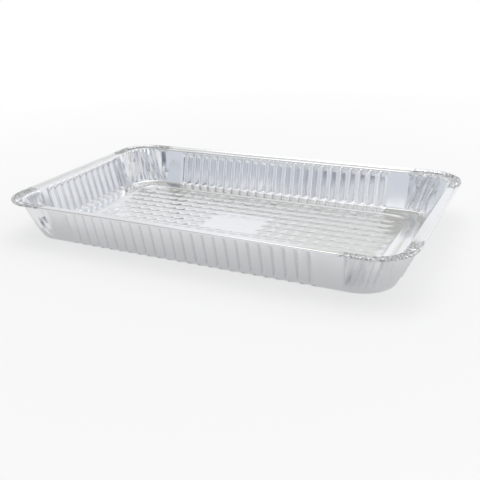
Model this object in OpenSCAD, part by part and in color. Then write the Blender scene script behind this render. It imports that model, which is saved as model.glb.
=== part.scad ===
// Foil roasting pan pressed from one sheet of aluminium foil.
// It has a fluted wall, crushed corner pleats, a flat flange with a curled edge,
// a resting ledge and a raised floor panel with a waffle pattern.
// The origin is under the middle of the pan, on the plane that it stands on. X runs along the pan.
// Side 0 faces +X, side 1 faces +Y, side 2 faces -X and side 3 faces -Y.
// A station tells where a point is around the pan, from 0 to 8. Side n runs from station 2n
// to 2n + 1, and the corner after it from 2n + 1 to 2n + 2.
// An inset is a distance measured inwards from the outer edge of the rim.

/* [Foil] */
// Thickness of the foil
foil_t = 0.12; // [0.08:0.01:0.3]

/* [Rim] */
// Length of the rim over its curled edge
rim_length = 527; // [480:1:580]
// Width of the rim over its curled edge
rim_width = 324; // [290:1:360]
// Outer corner radius of the rim
rim_corner_r = 45; // [38:1:52]
// Width of the flange, curled edge included
flange_w = 14; // [11:0.5:17]
// Radius of the curled edge
curl_r = 1.65; // [1.2:0.05:2.2]
// Height of the curl's middle above the flange
curl_lift = 0.65; // [0.3:0.05:1]
// Size of the bend between flange and wall
lip_size = 1.4; // [0.8:0.1:2.5]

/* [Wall] */
// Height of the flange above the plane that the pan stands on
pan_depth = 50.6; // [42:0.2:66]
// How far the foot of the wall stands in from its top
wall_lean = 12; // [8:0.5:16]
// Radius of the bend at the foot of the wall
foot_bend_r = 3; // [2:0.5:5]
// Corner radius of the wall at its foot
foot_corner_r = 40; // [34:1:46]

/* [Flutes] */
// Distance from one groove to the next
flute_pitch = 13.93; // [11:0.01:18]
// Width of a groove
groove_w = 5.2; // [3:0.2:7]
// Depth of a groove, outwards from the wall
groove_depth = 1.8; // [1:0.1:3]
// How far the wide ribs between the grooves bulge into the pan
rib_bulge = 1.3; // [0.3:0.1:1.8]
// Plain wall between the bend under the rim and the flutes
flute_top_gap = 1.1; // [0.6:0.1:4]
// Height over which a flute fades out at its top, and a groove at its foot
flute_fade = 3; // [2:0.5:7]
// How far the foot of a groove stands above the foot of a rib
foot_scallop = 2.4; // [0:0.2:4]
// Distance from the rim's end to the end of the flutes on a long side
long_side_margin = 96; // [90:1:104]
// Distance from the rim's side to the end of the flutes on a short side
short_side_margin = 78; // [78:1:90]

/* [Corner pleats] */
// Distance from the rim's end to the start of the pleats on a long side
long_pleat_start = 74; // [70:0.5:80]
// Distance from the rim's side to the start of the pleats on a short side
short_pleat_start = 69; // [66:0.5:74]
// Pleats around the curved part of a corner
arc_pleats = 6; // [4:1:7]
// Pleats on the straight wall at either side of the curve
side_pleats = 2; // [1:1:2]
// Depth of the pleats in the wall
pleat_depth = 1.8; // [0.4:0.1:2.4]
// Height of the small crimps in the flange
crimp_h = 0.35; // [0:0.05:0.5]
// Depth of the small crimps in the curled edge
curl_crimp = 0.3; // [0:0.05:0.4]

/* [Floor] */
// Inset of the crease in the resting ledge
crease_inset = 38.5; // [37:0.5:41]
// Width of the crease
crease_w = 3; // [2:0.5:4]
// Rise of the ledge at its crease
crease_rise = 0.8; // [0.3:0.1:1.2]
// Inset of the step up to the panel
step_inset = 52.5; // [49:0.5:54]
// Width of the slope of the step
step_w = 3.2; // [2:0.2:4]
// Corner radius of the step
step_corner_r = 32; // [28:1:36]
// Height of the crest around the panel
crest_h = 3; // [2:0.2:4]
// Width of the crest
crest_w = 1.6; // [1:0.1:2.4]
// Width of the inner slope of the crest
crest_slope_w = 2.4; // [1.6:0.1:3.2]
// Corner radius of the panel
panel_corner_r = 18; // [12:1:20]
// Side of one square of the waffle pattern
waffle_pitch = 16.6; // [14.4:0.1:20]
// Height of the waffle's ridges
waffle_ridge_h = 2.8; // [1.8:0.1:3.2]
// Height of the middle of each square
waffle_hollow_h = 1; // [0.6:0.1:1.6]
// Squares of the plain patch along the pan
patch_squares_x = 5; // [1:2:9]
// Squares of the plain patch across the pan
patch_squares_y = 4; // [2:2:6]

/* [Hidden] */

half_l = rim_length / 2;
half_w = rim_width / 2;
foot_inset = flange_w + wall_lean;
lean_angle = atan(wall_lean / pan_depth);
bend_reach = foot_bend_r * tan((90 - lean_angle) / 2);
bend_mid_angle = (90 + lean_angle) / 2;
ledge_inset = foot_inset + bend_reach + rib_bulge;
bend_mid_inset = ledge_inset - foot_bend_r * cos(bend_mid_angle);
step_top_inset = step_inset + step_w;
crest_end_inset = step_top_inset + crest_w;
panel_inset = crest_end_inset + crest_slope_w;
flange_foot_inset = 2.7 * curl_r;
curl_angles = [290, 235, 180, 135, 90, 35];

// Columns of a corner: each pleat has one that goes out and one that goes in
arc_cols = 2 * arc_pleats;
side_cols = 2 * side_pleats;
corner_cols = arc_cols + 2 * side_cols;
arc_share = side_cols / corner_cols;
least_side_run = 1;
floor_arc_cols = 8;
noise_levels = 8;
pleat_noise = rands(0.35, 1, 4 * (corner_cols + 1) * noise_levels, 11);

// Levels of the wall
lip_z = pan_depth - lip_size;
flute_top_z = lip_z - flute_top_gap;
full_top_z = flute_top_z - flute_fade;
bend_top_z = foot_bend_r * (1 - sin(lean_angle));
bend_mid_z = foot_bend_r * (1 - sin(bend_mid_angle));
full_bottom_z = bend_top_z + foot_scallop + flute_fade;
upper_mid_z = mix(full_bottom_z, full_top_z, 0.65);
lower_mid_z = mix(full_bottom_z, full_top_z, 0.32);

// Waffle grid: an even number of ridges along X and an odd one along Y
grid_gap = 1.5;
patch_h = (waffle_ridge_h + waffle_hollow_h) / 2;
ridges_x = 2 * floor((half_l - panel_inset - grid_gap) / waffle_pitch + 0.5);
ridges_y = 2 * floor((half_w - panel_inset - grid_gap) / waffle_pitch) + 1;

function mix(a, b, share) = a + (b - a) * share;
function turned(v, side) = let (a = 90 * side)
    [v[0] * cos(a) - v[1] * sin(a), v[0] * sin(a) + v[1] * cos(a)];
function is_long(side) = side % 2 == 1;
function half_run(side) = is_long(side) ? half_l : half_w;
function pleat_start(side) = half_run(side) - (is_long(side) ? long_pleat_start : short_pleat_start);
function wall_inset(z) = flange_w + wall_lean * (pan_depth - z) / pan_depth;

// Corner radius of the outline at an inset
function corner_r(inset) =
    inset <= flange_w ? rim_corner_r - inset
    : inset <= foot_inset ? mix(rim_corner_r - flange_w, foot_corner_r, (inset - flange_w) / wall_lean)
    : inset <= step_inset
        ? mix(foot_corner_r, step_corner_r, (inset - foot_inset) / (step_inset - foot_inset))
    : mix(step_corner_r, panel_corner_r, (inset - step_inset) / (panel_inset - step_inset));

// Half the length of a side's straight part, and how far the pleats leave it plain
function straight(side, inset) = half_run(side) - inset - corner_r(inset);
function plain(side, inset) = min(pleat_start(side), straight(side, inset) - least_side_run);

// Position and outward direction on a side, at a distance along it
function on_side(side, along, inset) =
    [turned([half_run(side + 1) - inset, along], side), turned([1, 0], side)];

// The same on the corner after a side. Share 0 is the end of that side, share 1 the start of the next
function on_corner(side, share, inset) =
    let (r = corner_r(inset),
         run = straight(side, inset),
         next_run = straight(side + 1, inset),
         a = 90 * (share - arc_share) / (1 - 2 * arc_share),
         before = plain(side, inset),
         after = plain(side + 1, inset))
    share < arc_share ? on_side(side, mix(before, run, share / arc_share), inset)
    : share > 1 - arc_share ? on_side(side + 1, -mix(after, next_run, (1 - share) / arc_share), inset)
    : [turned([next_run + r * cos(a), run + r * sin(a)], side), turned([cos(a), sin(a)], side)];

function on_station(station, inset) =
    let (part = floor(station) % 8, share = station - floor(station), side = floor(part / 2),
         end = plain(side, inset),
         along = mix(-1, 1, share) * pleat_start(side))
    part % 2 == 0 ? on_side(side, max(-end, min(end, along)), inset)
    : on_corner(side, share, inset);
function side_station(side, along) = 2 * side + mix(0.5, 1, along / pleat_start(side));
function corner_station(side, col) = 2 * side + 1 + col / corner_cols;

// Crushed pleats: the columns go out and in by turns and by uneven amounts
function pleat_fade(z) = min((pan_depth - z) / (pan_depth - full_top_z), z / lower_mid_z, 1);
function pleat(side, col, z) =
    let (level = floor(0.99 * noise_levels * z / pan_depth),
         noise = pleat_noise[(side * (corner_cols + 1) + col) * noise_levels + level],
         fade = min(1, col / 2, (corner_cols - col) / 2) * pleat_fade(z))
    pleat_depth * noise * fade * (col % 2 == 0 ? 0.7 : -1);
function crimp(col) = (col % 2 == 0 ? 1 : -1) * min(1, col, corner_cols - col);

// Grooves of a side: their middles, then the places of their edges, middles and ribs with their depths
function grooves(side) =
    let (margin = is_long(side) ? long_side_margin : short_side_margin,
         count = 2 * floor((half_run(side) - margin) / flute_pitch))
    [for (i = [0:count - 1]) (i - (count - 1) / 2) * flute_pitch];
function flutes(side) = let (middles = grooves(side), last = len(middles) - 1)
    [for (i = [0:last]) let (m = middles[i]) each concat(
        [[m - groove_w / 2, 0], [m, groove_depth], [m + groove_w / 2, 0]],
        i < last ? [[m + flute_pitch / 2, -rib_bulge]] : [])];

// A ring is a list of points in the order of their stations, each as station, inset, height and push.
// The push moves the point outwards.
function corner_part(side, inset, z) =
    [for (col = [0:corner_cols]) [corner_station(side, col), inset, z, 0]];
function pleat_part(side, z) =
    [for (col = [0:corner_cols]) [corner_station(side, col), wall_inset(z), z, pleat(side, col, z)]];
function smooth_ring(inset, z) = [for (side = [0:3]) each corner_part(side, inset, z)];
function pleat_ring(z) = [for (side = [0:3]) each pleat_part(side, z)];
function groove_ring(z) = [for (side = [0:3]) each concat(
    [for (m = grooves(side)) [side_station(side, m), wall_inset(z), z, 0]], pleat_part(side, z))];
function flute_ring(z) = [for (side = [0:3]) each concat(
    [for (f = flutes(side)) [side_station(side, f[0]), wall_inset(z), z, f[1]]], pleat_part(side, z))];
// Feet of the flutes: those of the grooves stand higher, and plain wall begins half a pitch after the last
function foot_places(side) = let (middles = grooves(side), end = middles[len(middles) - 1] + flute_pitch / 2)
    concat([[-end, 0, 0]],
           [for (m = middles) each concat(
               m > middles[0] ? [[m - flute_pitch / 2, 0, -rib_bulge]] : [],
               [[m, foot_scallop, groove_depth / 2]])],
           [[end, 0, 0]]);
function foot_part(side, z) =
    [for (f = foot_places(side)) [side_station(side, f[0]), wall_inset(z), z + f[1], f[2]]];
function foot_ring(z) = [for (side = [0:3]) each concat(foot_part(side, z), pleat_part(side, z))];
function floor_ring(inset, z) = [for (side = [0:3], i = [0:floor_arc_cols])
    [2 * side + 1 + mix(arc_share, 1 - arc_share, i / floor_arc_cols), inset, z, 0]];
function flange_ring(inset, h) = [for (side = [0:3], col = [0:corner_cols])
    [corner_station(side, col), inset, pan_depth + h * crimp(col), 0]];
function curl_ring(a) = [for (side = [0:3], col = [0:corner_cols])
    [corner_station(side, col), curl_r * (1 + cos(a)), pan_depth + curl_lift + curl_r * sin(a),
     curl_crimp * min(0, crimp(col)) * (1 - cos(a)) / 2]];

// Every ring from the end of the curl to the panel, with the direction through the foil:
// how far outwards, then how far up
wall_dir = [cos(lean_angle), -sin(lean_angle)];
down = [0, -1];
ring_table = concat(
    [for (a = curl_angles) [curl_ring(a), [cos(a), -sin(a)]]],
    [[flange_ring(flange_foot_inset, crimp_h), down],
     [flange_ring(flange_w - lip_size, crimp_h / 2), down],
     [smooth_ring(wall_inset(lip_z), lip_z), [sin(45), -cos(45)]],
     [groove_ring(flute_top_z), wall_dir],
     [flute_ring(full_top_z), wall_dir],
     [pleat_ring(upper_mid_z), wall_dir],
     [pleat_ring(lower_mid_z), wall_dir],
     [flute_ring(full_bottom_z), wall_dir],
     [foot_ring(bend_top_z), wall_dir],
     [smooth_ring(bend_mid_inset, bend_mid_z), [cos(bend_mid_angle), -sin(bend_mid_angle)]],
     [floor_ring(ledge_inset, 0), down],
     [floor_ring(crease_inset, 0), down],
     [floor_ring(crease_inset + crease_w, crease_rise), down],
     [floor_ring(step_inset, crease_rise), down],
     [floor_ring(step_top_inset, crest_h), down],
     [floor_ring(crest_end_inset, crest_h), down],
     [floor_ring(panel_inset, patch_h), down]]);
full_top = len(curl_angles) + 4;
full_bottom = full_top + 3;
last_ring = len(ring_table) - 1;

function first_of(ring) = ring == 0 ? 0 : first_of(ring - 1) + len(ring_table[ring - 1][0]);
ring_firsts = [for (ring = [0:last_ring + 1]) first_of(ring)];
ring_points = [for (ring = ring_table, e = ring[0]) let (at = on_station(e[0], e[1]))
    concat(at[0] + at[1] * e[3], e[2] + foil_t)];
ring_dirs = [for (ring = ring_table, e = ring[0]) let (at = on_station(e[0], e[1]))
    concat(at[1] * ring[1][0], ring[1][1])];

// Waffle: the crossings of its ridges, then the middles of its squares
function ridge_x(i) = (i - (ridges_x - 1) / 2) * waffle_pitch;
function ridge_y(j) = (j - (ridges_y - 1) / 2) * waffle_pitch;
patch_half_l = waffle_pitch * (patch_squares_x - 0.5) / 2;
patch_half_w = waffle_pitch * (patch_squares_y - 0.5) / 2;
function in_patch(x, y) = abs(x) < patch_half_l && abs(y) < patch_half_w;
waffle_points = [
    for (j = [0:ridges_y - 1], i = [0:ridges_x - 1]) let (x = ridge_x(i), y = ridge_y(j))
        [x, y, foil_t + (in_patch(x, y) ? patch_h : waffle_ridge_h)],
    for (j = [0:ridges_y - 2], i = [0:ridges_x - 2]) let (x = ridge_x(i + 0.5), y = ridge_y(j + 0.5))
        [x, y, foil_t + (in_patch(x, y) ? patch_h : waffle_hollow_h)]];
function crossing(i, j) = ring_firsts[last_ring + 1] + j * ridges_x + i;
function square(i, j) = crossing(0, ridges_y) + j * (ridges_x - 1) + i;
function is_corner_square(i, j) = (i == 0 || i == ridges_x - 2) && (j == 0 || j == ridges_y - 2);

upper = concat(ring_points, waffle_points);
dirs = concat(ring_dirs, [for (p = waffle_points) [0, 0, -1]]);
lower = [for (i = [0:len(upper) - 1]) upper[i] + foil_t * dirs[i]];

// A chain is a list of points in order, each as its station and its number.
// This is the part of a ring from one station to another, both included
function chain(ring, from, to) =
    let (entries = ring_table[ring][0], count = len(entries))
    [for (turn = [0, 8], i = [0:count - 1]) let (station = entries[i][0] + turn)
        if (station > from - 0.0001 && station < to + 0.0001) [station, ring_firsts[ring] + i]];

// Border of the waffle along a side, from the middle of one corner to the middle of the next.
// The corner squares are left out
function border(side) =
    let (i_end = ridges_x - 1, j_end = ridges_y - 1, count = is_long(side) ? ridges_x : ridges_y)
    [for (k = [0:count - 1])
        let (i = side == 0 ? i_end : side == 1 ? i_end - k : side == 2 ? 0 : k,
             j = side == 0 ? k : side == 1 ? j_end : side == 2 ? j_end - k : 0,
             along = (k - (count - 1) / 2) * waffle_pitch)
        k == 0 ? [2 * side - 0.5, crossing(max(1, min(i_end - 1, i)), max(1, min(j_end - 1, j)))]
        : k == count - 1 ? [2 * side + 1.5, crossing(max(1, min(i_end - 1, i)), max(1, min(j_end - 1, j)))]
        : [side_station(side, along), crossing(i, j)]];

// Triangles between an outer and an inner chain, clockwise as seen from above
function outer_goes(a, b, i, j) =
    j == len(b) - 1 || (i < len(a) - 1 && a[i][0] + a[i + 1][0] <= b[j][0] + b[j + 1][0]);
function zip(a, b) =
    [for (i = 0, j = 0, goes = outer_goes(a, b, 0, 0);
          i < len(a) - 1 || j < len(b) - 1;
          i = goes ? i + 1 : i, j = goes ? j : j + 1, goes = outer_goes(a, b, i, j))
        goes ? [a[i][1], b[j][1], a[i + 1][1]] : [a[i][1], b[j][1], b[j + 1][1]]];

function ring_pair(outer, inner, from, to) = zip(chain(outer, from, to), chain(inner, from, to));
function full_turn(outer, inner) =
    [for (side = [0:3]) each ring_pair(outer, inner, 2 * side + 1.5, 2 * side + 3.5)];

// Between the ends of the full flutes: pleats in the corners, plain wall, then straight flutes
function column(station) = [for (ring = [full_top:full_bottom]) [ring, chain(ring, station, station)[0][1]]];
function edge(station) = [for (ring = [full_top, full_bottom]) [ring, chain(ring, station, station)[0][1]]];
function flute_faces(side) =
    let (places = flutes(side),
         first = side_station(side, places[0][0]),
         last = side_station(side, places[len(places) - 1][0]))
    concat(zip(edge(first), column(side == 0 ? 8 : 2 * side)),
           ring_pair(full_top, full_bottom, first, last),
           zip(column(2 * side + 1), edge(last)));
function pleat_faces(side) = [for (ring = [full_top:full_bottom - 1])
    each ring_pair(ring, ring + 1, 2 * side + 1, 2 * side + 2)];

ring_faces = [for (ring = [0:last_ring - 1])
    if (ring < full_top || ring >= full_bottom) each full_turn(ring, ring + 1)];
wall_faces = [for (side = [0:3]) each concat(flute_faces(side), pleat_faces(side))];
border_faces = [for (side = [0:3]) each
    zip(chain(last_ring, 2 * side + 7.5, 2 * side + 9.5), [for (b = border(side)) b + [8, 0]])];
square_faces = [for (j = [0:ridges_y - 2], i = [0:ridges_x - 2])
    if (!is_corner_square(i, j))
        let (around = [crossing(i, j), crossing(i, j + 1), crossing(i + 1, j + 1), crossing(i + 1, j)])
            each [for (k = [0:3]) [square(i, j), around[k], around[(k + 1) % 4]]]];
upper_faces = concat(ring_faces, wall_faces, border_faces, square_faces);
skin_count = len(upper);
lower_faces = [for (f = upper_faces) [f[2], f[1], f[0]] + skin_count * [1, 1, 1]];
raw_edge_faces = [for (i = [0:ring_firsts[1] - 1]) let (next = (i + 1) % ring_firsts[1])
    each [[i, next, i + skin_count], [next, next + skin_count, i + skin_count]]];

module pan() {
    color([0.8, 0.81, 0.83])
        polyhedron(points = concat(upper, lower), faces = concat(upper_faces, lower_faces, raw_edge_faces));
}

pan();
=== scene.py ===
"""Foil roasting pan: one pressed sheet of aluminium foil on a white studio floor.

The upper face of the foil is built as rings of points around the pan, from the end of the curled edge
down to the floor panel, and as a grid for the waffle of the panel. The lower face repeats it, a foil's
thickness away. Sizes are in millimetres until the mesh is made. The studio is in metres.

Side 0 faces +X, side 1 faces +Y, side 2 faces -X and side 3 faces -Y. A station tells where a point is
around the pan, from 0 to 8. Side n runs from station 2n to 2n + 1, and the corner after it from 2n + 1
to 2n + 2. An inset is a distance measured inwards from the outer edge of the rim.
"""

import bpy
import numpy as np
from mathutils import Matrix, Vector, noise


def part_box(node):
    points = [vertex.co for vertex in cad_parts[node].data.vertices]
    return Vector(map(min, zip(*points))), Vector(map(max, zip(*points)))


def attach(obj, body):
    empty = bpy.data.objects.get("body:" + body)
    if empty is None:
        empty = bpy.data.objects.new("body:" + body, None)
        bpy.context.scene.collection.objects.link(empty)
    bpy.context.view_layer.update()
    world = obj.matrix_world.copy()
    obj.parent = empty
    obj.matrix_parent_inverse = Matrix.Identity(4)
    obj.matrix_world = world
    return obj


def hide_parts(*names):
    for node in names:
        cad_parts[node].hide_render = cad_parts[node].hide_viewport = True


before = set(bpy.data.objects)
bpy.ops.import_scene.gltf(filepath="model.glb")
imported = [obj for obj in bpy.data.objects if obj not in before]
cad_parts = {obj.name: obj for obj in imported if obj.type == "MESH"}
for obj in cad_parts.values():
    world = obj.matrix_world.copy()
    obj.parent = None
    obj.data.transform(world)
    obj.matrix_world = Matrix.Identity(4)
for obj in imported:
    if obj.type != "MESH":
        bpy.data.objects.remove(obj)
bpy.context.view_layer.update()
MM = 0.001
HALF_L, HALF_W, HEIGHT = (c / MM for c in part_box("pan")[1])

# Foil, rim and lip
FOIL_T = 0.12
RIM_CORNER_R = 45.0
CURL_R = 1.65
CURL_LIFT = 0.65
CURL_ANGLES = (300, 272, 245, 220, 198, 175, 150, 125, 100, 72, 45)
FLANGE_W = 14.0
FLANGE_START = 2.75 * CURL_R
FLANGE_RINGS = 6
LIP_SIZE = 1.4
LIP_ANGLES = (30, 60)

# Wall. Its rings lie at drops below the tops of the ribs, at heights and at rises above the foot bend
DEPTH = HEIGHT - CURL_R - CURL_LIFT - FOIL_T
WALL_LEAN = 12.0
RIB_TOP_DROPS = (0.0, 0.4, 0.8, 1.2, 2.2, 3.6)
WALL_MIDDLE_ZS = (40, 32, 23, 15)
FOOT_RISES = (4.0, 2.0, 0.0)
FOOT_CORNER_R = 40.0
FOOT_BEND_R = 0.9
FOOT_BEND_TURNS = (0.2, 0.4, 0.6, 0.8, 1.0)

# Flutes. Each slope is at a distance from the middle of a rib, up to the middle of a groove.
# The slope under the foot bend gets wider where the foot stands higher
PITCH = 13.93
GROOVE_DEPTH = 2.0
GROOVE_FOOT_SHARE = 0.8
RIB_BULGE = 1.5
FLUTE_SLOPES = ((0.0, 0.0), (0.85, 0.6), (6.2, 0.66), (6.965, 0.0))
FLUTE_STEPS = 80
RIB_TOP_GAP = 0.5
RIB_TOP_DIP = 1.1
RIB_CAP_H = 1.4
GROOVE_FADE = 3.5
END_FLANK_W = 4.0
END_FLANK_POWER = 1.3
FOOT_SCALLOP = 1.3
FOOT_SLOPE_W = 0.1
FOOT_SLOPE_GROWTH = 0.25
LONG_SIDE_MARGIN = 96.0
SHORT_SIDE_MARGIN = 78.0

# Corner pleats. The folds wander along their levels, and fade out over heights below the flange
# and above the floor
LONG_PLEAT_START = 74.0
SHORT_PLEAT_START = 69.0
LEAST_SIDE_RUN = 3.0
FOLDS = 26
FOLD_SEED = 70
FOLD_COLS = 4
FOLD_LEVELS = (0, 15, 32, 50)
FOLD_SHIFT = 0.3
FOLD_LEAN = 0.8
FOLD_LEANS = 5
LEAST_FOLD = 0.25
PLEAT_DEPTH = 2.9
PLEAT_TOP_FADE = (0.5, 5)
PLEAT_FOOT_FADE = (1, 12)
CRINKLE = 0.03

# Crimps of the rim's corners. Some cross the whole flange, others differ from ring to ring.
# Crush is how crushed the foil is, from 0 to 1, and fades over a share of the corner at its ends. It sets the
# crinkles and the painted crease shade of the foil
CRIMP_SHARE = 0.4
LEAST_CRIMP = 0.4
CRIMP_H = 0.7
CROSSING_CRIMP = 0.8
CROSSING_SEED = 6
LOCAL_CRIMP = 0.3
LOCAL_SEED = 20
CURL_CRIMP = 0.45
INNER_CRIMP_SHARE = 0.5
INNER_DENT_SHARE = 0.4
LIP_CRUSH = 0.5
WALL_CRUSH = 0.04
RIM_CRUSH_FADE = 0.05
WALL_CRUSH_FADE = 0.1

# Floor
CREASE_INSET = 38.5
CREASE_W = 3.0
CREASE_RISE = 0.8
STEP_INSET = 52.5
STEP_W = 3.2
STEP_CORNER_R = 32.0
CREST_H = 3.0
CREST_W = 1.6
CREST_SLOPE_W = 2.4
PANEL_CORNER_R = 18.0
WAFFLE_PITCH = 16.6
RIDGE_H = 2.8
HOLLOW_H = 1.0
PATCH_SQUARES = (5, 4)
PATCH_EDGE_W = 6
GRID_GAP = 1.5

# Ridges of the waffle that run along the pan and across it: share of the full height, and sharpness
RIDGE_ALONG = (0.75, 2.5)
RIDGE_ACROSS = (0.5, 1.5)

# Ripples of the foil, each as its height, the size of its bumps and its seed
CURL_RIPPLES = ((0.10, 16, 8),)
FLANGE_RIPPLES = ((0.22, 38, 9), (0.08, 14, 10))
WALL_RIPPLES = ((0.16, 24, 11),)
LEDGE_RIPPLES = ((0.14, 30, 12), (0.05, 11, 13))
PANEL_RIPPLES = ((0.10, 30, 12), (0.08, 9, 14))
CURL_RIPPLE_TURN = 22.5
INNER_RIPPLE_SHARE = 0.3
RIPPLE_FADE_H = 8

# Insets and heights that follow from the sizes
FOOT_INSET = FLANGE_W + WALL_LEAN
LEAN = np.arctan(WALL_LEAN / DEPTH)
BEND_INSET = FOOT_INSET + FOOT_BEND_R * np.tan((np.pi / 2 - LEAN) / 2)
LEDGE_INSET = BEND_INSET + RIB_BULGE
FLUTES_END_INSET = LEDGE_INSET + 0.6
FLOOR_START_INSET = LEDGE_INSET + 1.2
FLOOR_SIDES_INSET = FOOT_INSET + 10
STEP_TOP_INSET = STEP_INSET + STEP_W
CREST_END_INSET = STEP_TOP_INSET + CREST_W
PANEL_INSET = CREST_END_INSET + CREST_SLOPE_W
BEND_TOP_Z = FOOT_BEND_R * (1 - np.sin(LEAN))
MEAN_H = (RIDGE_H + HOLLOW_H) / 2

# Columns of points: on a corner, on plain sides, and as shares of the pitch on a flute and a waffle square
ARC_SHARE = 0.2
CORNER_COLS = FOLDS * FOLD_COLS
FLOOR_ARC_COLS = 28
FLOOR_END_GAP = 3
PLAIN_GAP = 9.0
PLAIN_COLS = 3
GROOVE_COLS = (-0.44, -0.41, -0.09, -0.055, 0.0, 0.055, 0.09, 0.41, 0.44, 0.5)
WAFFLE_COLS = (-0.27, -0.12, 0, 0.12, 0.27, 0.5)

# Colours of the foil, and the painted shade of its crushed creases
FOIL_TONES = ((0.86, 0.87, 0.88, 1), (0.90, 0.905, 0.915, 1))
PAINTED_CREASE_SHADE = (0.36, 0.37, 0.38, 1)

# Studio: its white, and the softly edged panels that the foil mirrors, each as its direction, the angles
# in degrees where it begins to fade and where it has faded, and its colour
STUDIO_WHITE = (0.95, 0.96, 0.98)
STUDIO_PANELS = (
    ((0.0, 0.0, 1.0), 50, 64, (0.76, 0.76, 0.75)),
    ((-0.66, 0.68, 0.31), 6, 14, (0.84, 0.85, 0.86)),
    ((-0.26, 0.86, 0.43), 3, 8, (0.70, 0.69, 0.63)),
    ((0.19, 0.81, 0.56), 8, 16, (1.02, 1.02, 1.02)),
    ((0.90, -0.12, 0.42), 10, 24, (0.74, 0.78, 0.84)),
    ((-0.33, -0.64, 0.70), 20, 34, (0.56, 0.55, 0.51)),
    ((-0.35, -0.93, 0.05), 15, 40, (0.69, 0.72, 0.78)),
    ((-0.98, -0.15, 0.08), 9, 20, (0.64, 0.68, 0.75)),
    ((0.64, -0.77, 0.06), 8, 20, (0.58, 0.61, 0.67)),
    ((0.80, -0.60, 0.08), 9, 15, (0.20, 0.21, 0.27)),
    ((-0.62, -0.65, 0.45), 7, 13, (0.18, 0.19, 0.24)),
    ((0.31, -0.91, 0.27), 7, 14, (0.18, 0.19, 0.24)),
    ((0.97, 0.08, 0.21), 6, 13, (0.28, 0.29, 0.34)),
    ((0.0, 0.15, 0.98), 22, 38, (1.02, 1.02, 1.02)))
FLOOR_HALF = 4.0
FLOOR_MIRRORED = 0.35
WORLD_MIRRORED = 0.0

# Lamps, each as its name, place, size and power. All of them aim at the pan
LAMPS = (
    ("top_light", (-0.2, 0.3, 1.6), (1.2, 0.8), 3),
    ("side_light", (1.3, 0.8, 0.9), (1.0, 1.0), 2))

# Camera of the photograph, fitted to the rim and the floor of the pan, with its angles in degrees
CAMERA_PLACE = (0.3793, -0.7531, 0.3185)
CAMERA_AZIMUTH = 29.43
CAMERA_ELEVATION = -21.71
CAMERA_ROLL = -2.74
CAMERA_LENS = 50.48
CAMERA_SENSOR = 36
CAMERA_SHIFT = (0.07, -0.005)


def mix(a, b, share):
    return a + (b - a) * share


def smooth(low_value, high_value, x):
    """0 at low_value, 1 at high_value and a soft step between them."""
    share = np.clip((x - low_value) / (high_value - low_value), 0, 1)
    return share * share * (3 - 2 * share)


def wobble(points, size, seed):
    """Smooth noise from about -1 to 1 with bumps about size across."""
    moved = np.asarray(points) / size + 17.3 * seed
    return np.array([noise.noise(Vector(p)) for p in moved]) * 1.6


def ripples(points, kinds, lift=0.0):
    """Sum of ripples. A lift of 1 keeps them about zero or above."""
    return sum(height * (lift + wobble(points, size, seed)) for height, size, seed in kinds)


def on_floor(xy):
    """Points at height 0."""
    return np.column_stack([xy, np.zeros(len(xy))])


def corner_r(inset):
    """Corner radius of the pan's outline at an inset."""
    stops = (0, FLANGE_W, FOOT_INSET, STEP_INSET, PANEL_INSET)
    radii = (RIM_CORNER_R, RIM_CORNER_R - FLANGE_W, FOOT_CORNER_R, STEP_CORNER_R, PANEL_CORNER_R)
    return float(np.interp(inset, stops, radii))


def half_run(side):
    """Half of the pan's size along a side."""
    return HALF_L if side % 2 else HALF_W


def pleat_start(side):
    return half_run(side) - (LONG_PLEAT_START if side % 2 else SHORT_PLEAT_START)


def straight(side, inset):
    """Half the length of the straight part of a side."""
    return half_run(side) - inset - corner_r(inset)


def plain(side, inset):
    """How far from the middle of a side its corner pleats start."""
    return min(pleat_start(side), straight(side, inset) - LEAST_SIDE_RUN)


def turned(v, side):
    """Vectors of side 0 turned to another side."""
    c, s = ((1, 0), (0, 1), (-1, 0), (0, -1))[side % 4]
    return np.stack([v[:, 0] * c - v[:, 1] * s, v[:, 0] * s + v[:, 1] * c], axis=1)


def on_side(side, along, inset):
    """Places and outward directions on a side, at distances along it."""
    across = np.full_like(along, half_run(side + 1) - inset)
    out = np.tile([1.0, 0.0], (len(along), 1))
    return turned(np.stack([across, along], axis=1), side), turned(out, side)


def on_corner(side, share, inset):
    """The same on the corner after a side, for shares from 0 to 1 of the corner."""
    r = corner_r(inset)
    run, next_run = (straight(s, inset) for s in (side, side + 1))
    angle = np.pi / 2 * np.clip((share - ARC_SHARE) / (1 - 2 * ARC_SHARE), 0, 1)
    out = np.stack([np.cos(angle), np.sin(angle)], axis=1)
    xy = np.array([next_run, run]) + r * out
    before, after = plain(side, inset), plain(side + 1, inset)
    xy[:, 1] -= (run - before) * np.clip(1 - share / ARC_SHARE, 0, 1)
    xy[:, 0] -= (next_run - after) * np.clip(1 - (1 - share) / ARC_SHARE, 0, 1)
    return turned(xy, side), turned(out, side)


def grooves(side):
    """Middles of the grooves, along a side."""
    margin = LONG_SIDE_MARGIN if side % 2 else SHORT_SIDE_MARGIN
    count = 2 * int((half_run(side) - margin) / PITCH)
    return (np.arange(count) - (count - 1) / 2) * PITCH


def side_station(side, along):
    return 2 * side + 0.5 + 0.5 * np.asarray(along) / pleat_start(side)


def side_places(side, kind):
    """Columns of a side, as distances along it, for a ring of the rim, the flutes or the floor."""
    start = pleat_start(side)
    if kind == "rim":
        return np.linspace(-start, start, int(2 * start / PLAIN_GAP) + 1)[1:-1]
    if kind == "floor":
        reach = straight(side, STEP_INSET) - FLOOR_END_GAP
        return np.linspace(-reach, reach, int(2 * reach / PLAIN_GAP) + 1)
    middles = grooves(side)
    end = middles[-1] + PITCH / 2
    fluted = np.concatenate([middles + PITCH * col for col in GROOVE_COLS])
    past = [end + k * (start - end) / PLAIN_COLS for k in range(PLAIN_COLS)]
    return np.sort(np.concatenate([fluted[np.abs(fluted) < end], past, -np.array(past)]))


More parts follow.
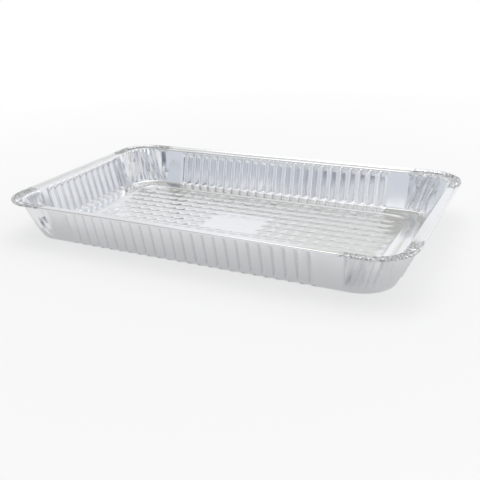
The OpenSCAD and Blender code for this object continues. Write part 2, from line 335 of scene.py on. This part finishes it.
def stations(kind):
    """Stations of the columns of a ring."""
    if kind == "floor":
        shares = np.linspace(ARC_SHARE, 1 - ARC_SHARE, FLOOR_ARC_COLS + 1)
    else:
        shares = np.linspace(0, 1, CORNER_COLS + 1)
    return np.concatenate([
        part for side in range(4)
        for part in (side_station(side, side_places(side, kind)), 2 * side + 1 + shares)])


def place(station, inset):
    """Places, outward directions, distances along the side, shares of the corner and parts of stations.

    A part is even on a side and odd on a corner. The straight sides of the floor reach up to the curves of
    its corners, and those of the wall end where the pleats start.
    """
    xy, out = np.zeros((len(station), 2)), np.zeros((len(station), 2))
    along, share = np.zeros(len(station)), np.full(len(station), -1.0)
    part = np.minimum(np.ceil(station).astype(int) - 1, 7)
    for k in range(8):
        here = part == k
        side = k // 2
        if k % 2:
            share[here] = station[here] - k
            xy[here], out[here] = on_corner(side, share[here], inset)
        else:
            along[here] = (2 * (station[here] - k) - 1) * pleat_start(side)
            reach = straight(side, inset) if inset > FLOOR_SIDES_INSET else plain(side, inset)
            xy[here], out[here] = on_side(side, np.clip(along[here], -reach, reach), inset)
    return xy, out, along, share, part


def flute_profile(along, part):
    """Depth of the flutes, outwards, and how far each column is on its way from a rib to a groove."""
    depth, way = np.zeros(len(along)), np.zeros(len(along))
    half = PITCH / 2
    across = np.linspace(0, half, FLUTE_STEPS)
    rise = np.cumsum(np.interp(across, *zip(*FLUTE_SLOPES)))
    rise *= (GROOVE_DEPTH + RIB_BULGE) / rise[-1]
    for side in range(4):
        here = part == 2 * side
        middles = grooves(side)
        phase = (along[here] - middles[0]) / PITCH
        from_groove = np.abs(phase - np.round(phase)) * PITCH
        flute = np.interp(half - from_groove, across, rise) - RIB_BULGE
        past = np.clip(np.abs(along[here]) - middles[-1], 0, None)
        end = GROOVE_DEPTH * np.clip(1 - past / END_FLANK_W, 0, 1) ** END_FLANK_POWER
        depth[here] = np.where(past > 0, end, flute)
        way[here] = np.where(past > 0, np.clip(1 - past / half, 0, 1), 1 - from_groove / half) ** 2
    return depth, way


def corner_mask(share, edge):
    """1 inside a corner, fading to 0 over a share of it at both ends, and 0 on the sides."""
    return np.where(share >= 0, smooth(0, edge, share) * smooth(0, edge, 1 - share), 0)


def fold_grid(corner):
    """Fold lines of a crushed corner: how far each is moved and how deep it is, at each fold level."""
    draw = np.random.default_rng(FOLD_SEED + corner)
    line = np.arange(FOLDS + 1)
    size = (len(FOLD_LEVELS), FOLDS + 1)
    lean = np.interp(line, np.linspace(0, FOLDS, FOLD_LEANS), draw.uniform(-1, 1, FOLD_LEANS))
    shift = draw.uniform(-FOLD_SHIFT, FOLD_SHIFT, size)
    moved = shift + FOLD_LEAN * lean * np.linspace(-1, 1, size[0])[:, None]
    depth = np.where(line % 2, -1.0, 1.0) * draw.uniform(LEAST_FOLD, 1, size)
    ends = np.clip(np.minimum(line, FOLDS - line) / 2, 0, 1)
    return moved * ends, depth * ends


FOLD_GRIDS = [fold_grid(corner) for corner in range(4)]


def at_level(grid, z):
    """Values of the fold lines at a height between the fold levels."""
    return np.array([np.interp(z, FOLD_LEVELS, row) for row in grid.T])


def folds(station, share, part, z):
    """Stations moved to the fold lines of the corners, and the depths of the folds."""
    moved, push = station.copy(), np.zeros(len(station))
    line = np.arange(FOLDS + 1)
    for corner in range(4):
        here = part == 2 * corner + 1
        column = share[here] * FOLDS
        shifts, depths = (at_level(grid, z) for grid in FOLD_GRIDS[corner])
        moved[here] += np.interp(column, line, shifts) / FOLDS
        draw = np.random.default_rng(int(1000 * z) + corner)
        crinkle = CRINKLE * draw.uniform(-1, 1, len(column)) * corner_mask(share[here], WALL_CRUSH_FADE)
        push[here] = PLEAT_DEPTH * np.interp(column, line, depths) + crinkle
    return moved, push * smooth(*PLEAT_TOP_FADE, DEPTH - z) * smooth(*PLEAT_FOOT_FADE, z)


def crimps(share, part, seed):
    """Small radial creases of the rim's corners: some columns go down."""
    wave = np.zeros(len(share))
    for corner in range(4):
        here = part == 2 * corner + 1
        draw = np.random.default_rng(10 * seed + corner)
        count = int(here.sum())
        creased = draw.random(count) < CRIMP_SHARE
        wave[here] = np.where(creased, draw.uniform(LEAST_CRIMP, 1, count), 0)
    return wave * corner_mask(share, RIM_CRUSH_FADE)


class Sheet:
    """The upper face of the foil: its points, the directions through the foil, and the faces."""

    def __init__(self):
        self.points, self.through, self.crush = [], [], []
        self.faces, self.flat = [], []
        self.count = 0

    def add(self, points, through, crush):
        """Adds points and gives the number of the first."""
        first = self.count
        self.points.append(points)
        self.through.append(through)
        self.crush.append(crush)
        self.count += len(points)
        return first

    def add_faces(self, faces, flat=False):
        """Adds faces as lists of point numbers, each of them flat or smooth."""
        self.faces += np.asarray(faces).tolist()
        self.flat += np.broadcast_to(flat, len(faces)).tolist()

    def add_ring(self, station, inset, z, tilt, push=0.0, crush=0.0, out_by=0.0, moved=None):
        """A ring at an inset and heights, as its stations and the number of its first point.

        Tilt is the direction through the foil, outwards, then up. Push moves a point that way, and out_by
        moves it outwards. Where the columns leave their stations, moved says where they are.
        """
        xy, out = place(station if moved is None else moved, inset)[:2]
        through = np.column_stack([out * tilt[0], np.full(len(xy), tilt[1])])
        moved_xy = xy + out * np.reshape(out_by, (-1, 1))
        points = np.column_stack([moved_xy, np.broadcast_to(z, len(xy)) + FOIL_T])
        points = points + through * np.reshape(push, (-1, 1))
        return station, self.add(points, through, np.broadcast_to(crush, len(xy)))

    def join(self, outer, inner, flat):
        """Faces between two rings. Those that are flat, not smooth, are none, all or those of the corners."""
        (a, a_first), (b, b_first) = outer, inner
        if len(a) == len(b) and np.allclose(a, b):
            i = np.arange(len(a))
            n = np.roll(i, -1)
            in_corner = (a + 1e-6).astype(int) % 2 == 1
            faces = np.column_stack([a_first + i, a_first + n, b_first + n, b_first + i])
            self.add_faces(faces, in_corner if flat == "corners" else flat == "all")
            return
        for start in (1.5, 3.5, 5.5, 7.5):
            self.stitch(ring_part(a, a_first, start), ring_part(b, b_first, start))

    def stitch(self, a, b):
        """Triangles between two chains of [station, number], from their starts to their ends."""
        i = j = 0
        faces = []
        while i < len(a) - 1 or j < len(b) - 1:
            if j == len(b) - 1 or (i < len(a) - 1 and a[i][0] + a[i + 1][0] <= b[j][0] + b[j + 1][0]):
                faces.append([a[i][1], a[i + 1][1], b[j][1]])
                i += 1
            else:
                faces.append([a[i][1], b[j + 1][1], b[j][1]])
                j += 1
        self.add_faces(faces)


def ring_part(station, first, start):
    """The points of a ring from one corner's middle to the next one's, as [station, number]."""
    doubled = [[s + turn, first + k] for turn in (0, 8) for k, s in enumerate(station)]
    return [p for p in doubled if start - 1e-6 < p[0] < start + 2 + 1e-6]


def curl_rings(sheet, station):
    """The curled edge, from its hidden end over the top to the flange."""
    share, part = place(station, 0)[3:]
    crush = corner_mask(share, RIM_CRUSH_FADE)
    dents = CURL_CRIMP * crimps(share, part, CROSSING_SEED) * crush
    rings = []
    for degrees in CURL_ANGLES:
        a = np.radians(degrees)
        inset = CURL_R * (1 + np.cos(a))
        outer = (1 - np.cos(a)) / 2
        turn = np.full(len(station), degrees / CURL_RIPPLE_TURN)
        spots = np.column_stack([place(station, inset)[0], turn])
        dent = dents * mix(INNER_DENT_SHARE, 1, outer) + ripples(spots, CURL_RIPPLES, 1) * outer
        z = DEPTH + CURL_LIFT + CURL_R * np.sin(a)
        rings.append(sheet.add_ring(station, inset, z, (np.cos(a), -np.sin(a)), dent, crush))
    return rings


def flange_rings(sheet, station):
    """The flat flange with its creased corners, and the lip that bends down to the wall."""
    share, part = place(station, 0)[3:]
    crush = corner_mask(share, RIM_CRUSH_FADE)
    inner = FLANGE_W - LIP_SIZE
    crossing = CROSSING_CRIMP * crimps(share, part, CROSSING_SEED)
    rings = []
    for k, inset in enumerate(np.linspace(FLANGE_START, inner, FLANGE_RINGS)):
        outer = smooth(inner + 0.5, 0.5 * inner, inset)
        wave = ripples(on_floor(place(station, inset)[0]), FLANGE_RIPPLES)
        creases = crossing + LOCAL_CRIMP * crimps(share, part, LOCAL_SEED + k)
        push = (CRIMP_H * creases * mix(INNER_CRIMP_SHARE, 1, outer)
                + wave * mix(INNER_RIPPLE_SHARE, 1, outer))
        rings.append(sheet.add_ring(station, inset, DEPTH, (0, -1), push, crush))
    for degrees in LIP_ANGLES:
        a = np.radians(degrees)
        inset = inner + LIP_SIZE * np.sin(a)
        z = DEPTH - LIP_SIZE * (1 - np.cos(a))
        rings.append(sheet.add_ring(station, inset, z, (np.sin(a), -np.cos(a)), 0, LIP_CRUSH * crush))
    return rings


def wall_levels(way):
    """Heights of the wall's rings, from the lip to the foot bend, with the shares of ribs and grooves."""
    rib_top = DEPTH - LIP_SIZE - RIB_TOP_GAP - RIB_TOP_DIP * way
    levels = [(np.full(len(way), DEPTH - LIP_SIZE), 0, 0)]
    for drop in RIB_TOP_DROPS:
        levels.append((rib_top - drop, smooth(0, RIB_CAP_H, drop), smooth(0, GROOVE_FADE, drop)))
    levels += [(np.full(len(way), z), 1, 1) for z in WALL_MIDDLE_ZS]
    for rise in FOOT_RISES:
        groove = mix(GROOVE_FOOT_SHARE, 1, rise / FOOT_RISES[0])
        levels.append((BEND_TOP_Z + FOOT_SCALLOP * way + rise, 1, groove))
    return levels


def wall_rings(sheet, station):
    """The fluted and pleated wall, from the lip to the top of the foot bend."""
    _, _, along, share, part = place(station, 0)
    depth, way = flute_profile(along, part)
    tilt = (np.cos(LEAN), -np.sin(LEAN))
    crush = WALL_CRUSH * corner_mask(share, WALL_CRUSH_FADE)
    rings = []
    for z, rib, groove in wall_levels(way):
        level = z[share >= 0][0]
        inset = FLANGE_W + WALL_LEAN * (DEPTH - level) / DEPTH
        moved, fold = folds(station, share, part, level)
        spots = np.column_stack([place(moved, inset)[0], z])
        fade = smooth(0, RIPPLE_FADE_H, DEPTH - z) * smooth(BEND_TOP_Z, BEND_TOP_Z + RIPPLE_FADE_H, z)
        push = np.where(depth > 0, groove, rib) * depth + fold + fade * ripples(spots, WALL_RIPPLES)
        out_by = WALL_LEAN * (z - level) / DEPTH
        rings.append(sheet.add_ring(station, inset, z, tilt, push, crush, out_by, moved))
    return rings


def foot_rings(sheet, station):
    """The bend at the foot of the wall. It stands higher at the grooves, with a little slope under it."""
    _, _, along, share, part = place(station, 0)
    depth, way = flute_profile(along, part)
    lift = FOOT_SCALLOP * way
    out_by = np.where(depth > 0, GROOVE_FOOT_SHARE, 1) * depth + WALL_LEAN * lift / DEPTH
    crush = WALL_CRUSH * corner_mask(share, WALL_CRUSH_FADE)
    rings = []
    for turn in FOOT_BEND_TURNS:
        a = mix(LEAN, np.pi / 2, turn)
        inset = BEND_INSET - FOOT_BEND_R * np.cos(a)
        z = FOOT_BEND_R * (1 - np.sin(a)) + lift
        rings.append(sheet.add_ring(station, inset, z, (np.cos(a), -np.sin(a)), 0, crush, out_by))
    slope_w = FOOT_SLOPE_W + FOOT_SLOPE_GROWTH * lift
    rings.append(sheet.add_ring(station, BEND_INSET, 0, (0, -1), 0, crush, out_by - slope_w))
    rings.append(sheet.add_ring(station, FLUTES_END_INSET, 0, (0, -1)))
    return rings


def floor_rings(sheet, station):
    """The resting ledge, its crease, the step and the crest around the panel, with rounded edges."""
    crease_end = CREASE_INSET + CREASE_W
    profile = (
        (FLOOR_START_INSET, 0),
        (mix(LEDGE_INSET, CREASE_INSET, 0.6), 0),
        (CREASE_INSET, 0),
        (CREASE_INSET + 0.4 * CREASE_W, 0.25 * CREASE_RISE),
        (crease_end, CREASE_RISE),
        (mix(crease_end, STEP_INSET, 0.5), CREASE_RISE),
        (STEP_INSET - 0.6, CREASE_RISE),
        (STEP_INSET + 0.4, CREASE_RISE + 0.2),
        (STEP_TOP_INSET - 0.6, CREST_H - 0.25),
        (STEP_TOP_INSET + 0.5, CREST_H),
        (CREST_END_INSET - 0.4, CREST_H),
        (CREST_END_INSET + 0.6, CREST_H - 0.2),
        (PANEL_INSET, MEAN_H))
    rings = []
    for inset, z in profile:
        spots = on_floor(place(station, inset)[0])
        push = -smooth(LEDGE_INSET, CREASE_INSET, inset) * ripples(spots, LEDGE_RIPPLES, 1)
        rings.append(sheet.add_ring(station, inset, z, (0, -1), push))
    return rings


def ridge_counts():
    """Ridges of the waffle that cross X, an even number, and Y, an odd one."""
    across_x = 2 * int((HALF_L - PANEL_INSET - GRID_GAP) / WAFFLE_PITCH + 0.5)
    across_y = 2 * int((HALF_W - PANEL_INSET - GRID_GAP) / WAFFLE_PITCH) + 1
    return across_x, across_y


def waffle_lines(count):
    """Grid lines of the mesh across the waffle, close together at the ridges."""
    ridges = (np.arange(count) - (count - 1) / 2) * WAFFLE_PITCH
    lines = np.sort((ridges[:, None] + np.array(WAFFLE_COLS) * WAFFLE_PITCH).ravel())
    return lines[(lines >= ridges[0] - 1e-6) & (lines <= ridges[-1] + 1e-6)]


def ridge_shape(v, count):
    """1 on a ridge and 0 halfway between two, for distances v from the middle of the panel."""
    return 0.5 + 0.5 * np.cos(2 * np.pi * (v / WAFFLE_PITCH - (count - 1) / 2))


def waffle_height(x, y):
    """Rounded hollows between ridges that are highest where they cross, and the plain patch."""
    across, along = (ridge_shape(v, count) for v, count in zip((x, y), ridge_counts()))
    hollow = [1 - share * ridge ** power
              for ridge, (share, power) in ((along, RIDGE_ALONG), (across, RIDGE_ACROSS))]
    height = mix(HOLLOW_H, RIDGE_H, 1 - hollow[0] * hollow[1])
    half_x, half_y = (WAFFLE_PITCH * n / 2 for n in PATCH_SQUARES)
    in_x, in_y = (1 - smooth(half - PATCH_EDGE_W, half, np.abs(v)) for half, v in ((half_x, x), (half_y, y)))
    return mix(height, MEAN_H, in_x * in_y)


def waffle_border(number, lines, side, cut):
    """Border of the waffle's grid along a side, with the notches of the corner squares, as a chain."""
    turned_grid = np.rot90(number, side)
    before, after = (turned_grid[row, -1 - cut:-1] for row in (cut, -1 - cut))
    spots = side_station(side, lines[cut:len(lines) - cut])
    start, end = 2 * side - 0.5, 2 * side + 1.5
    lead = [[mix(start, spots[0], k / cut), n] for k, n in enumerate(before)]
    tail = [[mix(spots[-1], end, 1 - k / cut), n] for k, n in enumerate(after)][::-1]
    middle = list(zip(spots, turned_grid[cut:len(lines) - cut, -1]))
    return [[s + 8, int(n)] for s, n in lead + middle + tail]


def waffle(sheet, panel_ring):
    """The grid of the panel, joined to the ring around it. Its corner squares are left out."""
    xs, ys = (waffle_lines(n) for n in ridge_counts())
    x, y = np.meshgrid(xs, ys)
    spots = on_floor(np.column_stack([x.ravel(), y.ravel()]))
    height = waffle_height(spots[:, 0], spots[:, 1]) + FOIL_T - ripples(spots, PANEL_RIPPLES)
    points = np.column_stack([spots[:, :2], height])
    first = sheet.add(points, np.tile([0, 0, -1.0], (len(points), 1)), np.zeros(len(points)))
    number = first + np.arange(x.size).reshape(x.shape)
    cut = int(np.sum(xs < xs[0] + WAFFLE_PITCH - 1e-6))
    rows, cols = len(ys) - 1, len(xs) - 1
    i, j = np.meshgrid(np.arange(cols), np.arange(rows))
    keep = ~(((i < cut) | (i >= cols - cut)) & ((j < cut) | (j >= rows - cut)))
    i, j = i[keep], j[keep]
    sheet.add_faces(np.column_stack([number[j, i], number[j, i + 1], number[j + 1, i + 1], number[j + 1, i]]))
    for side in range(4):
        border = waffle_border(number, xs if side % 2 else ys, side, cut)
        sheet.stitch(ring_part(*panel_ring, 2 * side + 7.5), border)


def pan_mesh():
    """Both faces of the foil and its raw edge, as one closed mesh."""
    sheet = Sheet()
    rim, flutes, floor = (stations(kind) for kind in ("rim", "flutes", "floor"))
    curl = curl_rings(sheet, rim)
    crushed = flange_rings(sheet, rim) + wall_rings(sheet, flutes)
    foot = foot_rings(sheet, flutes)
    ledge = floor_rings(sheet, floor)

    # Hard edges in the crushed corners, and around the slope under the foot bend
    kinds = ["none"] * len(curl) + ["corners"] * (len(crushed) - 1)
    kinds += ["none"] * (len(foot) - 2) + ["all"] + ["none"] * (len(ledge) + 1)
    rings = curl + crushed + foot + ledge
    for outer, inner, flat in zip(rings, rings[1:], kinds):
        sheet.join(outer, inner, flat)
    waffle(sheet, rings[-1])

    # The points of the left out corner squares go
    used = np.unique(np.concatenate([np.array(f) for f in sheet.faces]))
    number = np.zeros(sheet.count, int)
    number[used] = np.arange(len(used))
    upper = np.concatenate(sheet.points)[used]
    lower = upper + FOIL_T * np.concatenate(sheet.through)[used]
    count = len(upper)
    faces = [number[f].tolist() for f in sheet.faces]
    under = [[n + count for n in reversed(f)] for f in faces]
    edge = [[k + count, (k + 1) % len(rim) + count, (k + 1) % len(rim), k] for k in range(len(rim))]
    mesh = bpy.data.meshes.new("foil_pan")
    mesh.from_pydata((np.concatenate([upper, lower]) * MM).tolist(), [], faces + under + edge)
    crush = mesh.attributes.new("crush", "FLOAT", "POINT")
    crush.data.foreach_set("value", np.tile(np.concatenate(sheet.crush)[used], 2).astype(np.float32))
    mesh.polygons.foreach_set("use_smooth", [not f for f in sheet.flat * 2] + [True] * len(edge))
    return mesh


def node(tree, kind, at, **values):
    """A shader node with some of its properties and sockets set."""
    made = tree.nodes.new(kind)
    made.location = at
    for name, value in values.items():
        if hasattr(made, name):
            setattr(made, name, value)
        else:
            made.inputs[name.replace("_", " ")].default_value = value
    return made


def foil_material():
    """Bright rolled foil: faint rolling lines, soft ripples, and crinkles where crushed, with painted shade
    darkening the crushed creases.
    """
    material = bpy.data.materials.new("foil")
    material.use_nodes = True
    tree = material.node_tree
    link = tree.links.new
    shader = tree.nodes["Principled BSDF"]
    shader.inputs["Metallic"].default_value = 1.0
    where = node(tree, "ShaderNodeTexCoord", (-1400, 0)).outputs["Object"]
    crush = node(tree, "ShaderNodeAttribute", (-1400, -400), attribute_name="crush").outputs["Fac"]

    def noise_of(scale, detail, at, stretch=(1, 1, 1)):
        squeeze = node(tree, "ShaderNodeMapping", (at[0] - 200, at[1]))
        squeeze.inputs["Scale"].default_value = stretch
        link(where, squeeze.inputs["Vector"])
        made = node(tree, "ShaderNodeTexNoise", at, Scale=scale, Detail=detail, Roughness=0.55)
        link(squeeze.outputs["Vector"], made.inputs["Vector"])
        return made.outputs["Fac"]

    def remap(value, low_value, high_value, at):
        made = node(tree, "ShaderNodeMapRange", at, From_Min=0.3, From_Max=0.7)
        made.inputs["To Min"].default_value = low_value
        made.inputs["To Max"].default_value = high_value
        link(value, made.inputs["Value"])
        return made.outputs["Result"]

    tone = node(tree, "ShaderNodeMix", (-300, 300), data_type="RGBA")
    tone.inputs["A"].default_value, tone.inputs["B"].default_value = FOIL_TONES
    link(noise_of(60, 3, (-700, 300)), tone.inputs["Factor"])
    # Painted shade: where the foil is crushed, noisy patches of its colour go towards a dark grey, standing
    # in for the shade in its creases
    creased = node(tree, "ShaderNodeMath", (-300, 600), operation="MULTIPLY")
    link(remap(noise_of(420, 2, (-700, 600)), 0.0, 1.3, (-500, 600)), creased.inputs[0])
    link(crush, creased.inputs[1])
    painted_shade = node(tree, "ShaderNodeMix", (-100, 400), data_type="RGBA")
    painted_shade.inputs["B"].default_value = PAINTED_CREASE_SHADE
    link(creased.outputs["Value"], painted_shade.inputs["Factor"])
    link(tone.outputs["Result"], painted_shade.inputs["A"])
    link(painted_shade.outputs["Result"], shader.inputs["Base Color"])
    link(remap(noise_of(150, 4, (-700, 50)), 0.11, 0.18, (-300, 50)), shader.inputs["Roughness"])

    # Rolling lines and ripples, each as its noise, the height of its bumps in metres and its strength
    bumps = (
        (noise_of(900, 2, (-900, -200), (0.03, 1, 1)), 0.00001, 0.08),
        (noise_of(60, 2, (-900, -450)), 0.0003, 0.05))
    normal = None
    for k, (height, distance, strength) in enumerate(bumps):
        bump = node(tree, "ShaderNodeBump", (-500 + 180 * k, -300), Strength=strength, Distance=distance)
        link(height, bump.inputs["Height"])
        if normal:
            link(normal, bump.inputs["Normal"])
        normal = bump.outputs["Normal"]

    # Crinkles, as strong as the foil is crushed
    cells = node(tree, "ShaderNodeTexVoronoi", (-900, -950), feature="DISTANCE_TO_EDGE", Scale=260)
    link(where, cells.inputs["Vector"])
    bump = node(tree, "ShaderNodeBump", (60, -300), Distance=0.0008)
    link(cells.outputs["Distance"], bump.inputs["Height"])
    scaled = node(tree, "ShaderNodeMath", (-300, -900), operation="MULTIPLY")
    scaled.inputs[1].default_value = 0.12
    link(crush, scaled.inputs[0])
    link(scaled.outputs["Value"], bump.inputs["Strength"])
    link(normal, bump.inputs["Normal"])
    link(bump.outputs["Normal"], shader.inputs["Normal"])
    return material


def seen_white(tree, lit, share, mirrored):
    """Mixes a lit shader with plain white, by a share where the camera sees it directly.

    Where foil mirrors it, that share is multiplied by mirrored.
    """
    link = tree.links.new
    path = node(tree, "ShaderNodeLightPath", (-800, 200))
    seen = node(tree, "ShaderNodeMath", (-500, 200), operation="MULTIPLY_ADD")
    seen.inputs[1].default_value = mirrored
    link(path.outputs["Is Glossy Ray"], seen.inputs[0])
    link(path.outputs["Is Camera Ray"], seen.inputs[2])
    part = node(tree, "ShaderNodeMath", (-200, 200), operation="MULTIPLY")
    link(seen.outputs["Value"], part.inputs[0])
    link(share, part.inputs[1])
    kind = "ShaderNodeBackground" if lit.type == "BACKGROUND" else "ShaderNodeEmission"
    white = node(tree, kind, (-200, -100), Color=(1, 1, 1, 1), Strength=1.0)
    both = node(tree, "ShaderNodeMixShader", (100, 0))
    link(part.outputs["Value"], both.inputs[0])
    link(lit.outputs[0], both.inputs[1])
    link(white.outputs[0], both.inputs[2])
    return both.outputs[0]


def floor_material():
    """White that keeps shadows near the pan and fades into the plain white backdrop further out."""
    material = bpy.data.materials.new("floor")
    material.use_nodes = True
    tree = material.node_tree
    tree.nodes.remove(tree.nodes["Principled BSDF"])
    lit = node(tree, "ShaderNodeBsdfDiffuse", (-200, 300), Color=(0.92, 0.92, 0.92, 1))
    where = node(tree, "ShaderNodeTexCoord", (-1000, -200)).outputs["Object"]
    reach = node(tree, "ShaderNodeVectorMath", (-800, -200), operation="LENGTH")
    tree.links.new(where, reach.inputs[0])
    fade = node(tree, "ShaderNodeMapRange", (-600, -200), From_Min=0.4, From_Max=1.1, To_Min=0.6, To_Max=1.0)
    tree.links.new(reach.outputs["Value"], fade.inputs["Value"])
    white = seen_white(tree, lit, fade.outputs["Result"], FLOOR_MIRRORED)
    tree.links.new(white, tree.nodes["Material Output"].inputs["Surface"])
    return material


def studio_floor():
    """A square floor under the pan, out of sight at its edges."""
    mesh = bpy.data.meshes.new("floor")
    corners = [(FLOOR_HALF * x, FLOOR_HALF * y, 0) for x, y in ((-1, -1), (1, -1), (1, 1), (-1, 1))]
    mesh.from_pydata(corners, [], [(0, 1, 2, 3)])
    mesh.materials.append(floor_material())
    floor = bpy.data.objects.new("floor", mesh)
    bpy.context.collection.objects.link(floor)


def studio_world():
    """A bright studio, white all around, with softly edged panels. The camera itself sees plain white."""
    world = bpy.data.worlds.new("studio")
    bpy.context.scene.world = world
    world.use_nodes = True
    tree = world.node_tree
    link = tree.links.new
    toward = node(tree, "ShaderNodeTexCoord", (-1600, 0)).outputs["Generated"]
    colour = None
    for k, (middle, inner, outer, tint) in enumerate(STUDIO_PANELS):
        facing = node(tree, "ShaderNodeVectorMath", (-1400, -300 * k), operation="DOT_PRODUCT")
        link(toward, facing.inputs[0])
        facing.inputs[1].default_value = Vector(middle).normalized()
        share = node(tree, "ShaderNodeMapRange", (-1200, -300 * k), interpolation_type="SMOOTHSTEP")
        share.inputs["From Min"].default_value = np.cos(np.radians(outer))
        share.inputs["From Max"].default_value = np.cos(np.radians(inner))
        link(facing.outputs["Value"], share.inputs["Value"])
        panel = node(tree, "ShaderNodeMix", (-1000 + 180 * k, 0), data_type="RGBA")
        panel.inputs["A"].default_value = (*STUDIO_WHITE, 1)
        panel.inputs["B"].default_value = (*tint, 1)
        link(share.outputs["Result"], panel.inputs["Factor"])
        if colour:
            link(colour, panel.inputs["A"])
        colour = panel.outputs["Result"]
    lit = tree.nodes["Background"]
    link(colour, lit.inputs["Color"])
    whole = node(tree, "ShaderNodeValue", (-400, -300))
    whole.outputs[0].default_value = 1.0
    white = seen_white(tree, lit, whole.outputs[0], WORLD_MIRRORED)
    link(white, tree.nodes["World Output"].inputs["Surface"])


def softbox(name, at, size, power):
    """A rectangular lamp that aims at the pan."""
    lamp = bpy.data.lights.new(name, "AREA")
    lamp.shape = "RECTANGLE"
    lamp.size, lamp.size_y = size
    lamp.energy = power
    made = bpy.data.objects.new(name, lamp)
    bpy.context.collection.objects.link(made)
    made.location = at
    made.rotation_euler = (-Vector(at)).to_track_quat("-Z", "Y").to_euler()


def photo_camera():
    camera = bpy.data.cameras.new("camera")
    camera.sensor_width = CAMERA_SENSOR
    camera.lens = CAMERA_LENS
    camera.shift_x, camera.shift_y = CAMERA_SHIFT
    made = bpy.data.objects.new("camera", camera)
    bpy.context.collection.objects.link(made)
    azimuth, elevation, roll = (np.radians(a) for a in (CAMERA_AZIMUTH, CAMERA_ELEVATION, CAMERA_ROLL))
    turn = Matrix.Rotation(azimuth, 4, "Z") @ Matrix.Rotation(np.pi / 2 + elevation, 4, "X")
    turn = turn @ Matrix.Rotation(roll, 4, "Z")
    made.matrix_world = Matrix.Translation(CAMERA_PLACE) @ turn
    bpy.context.scene.camera = made


pan = bpy.data.objects.new("foil_pan", pan_mesh())
bpy.context.collection.objects.link(pan)
pan.data.materials.append(foil_material())
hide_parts("pan")
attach(pan, "root")

studio_floor()
studio_world()
for lamp_values in LAMPS:
    softbox(*lamp_values)
photo_camera()
bpy.context.scene.view_settings.view_transform = "Standard"
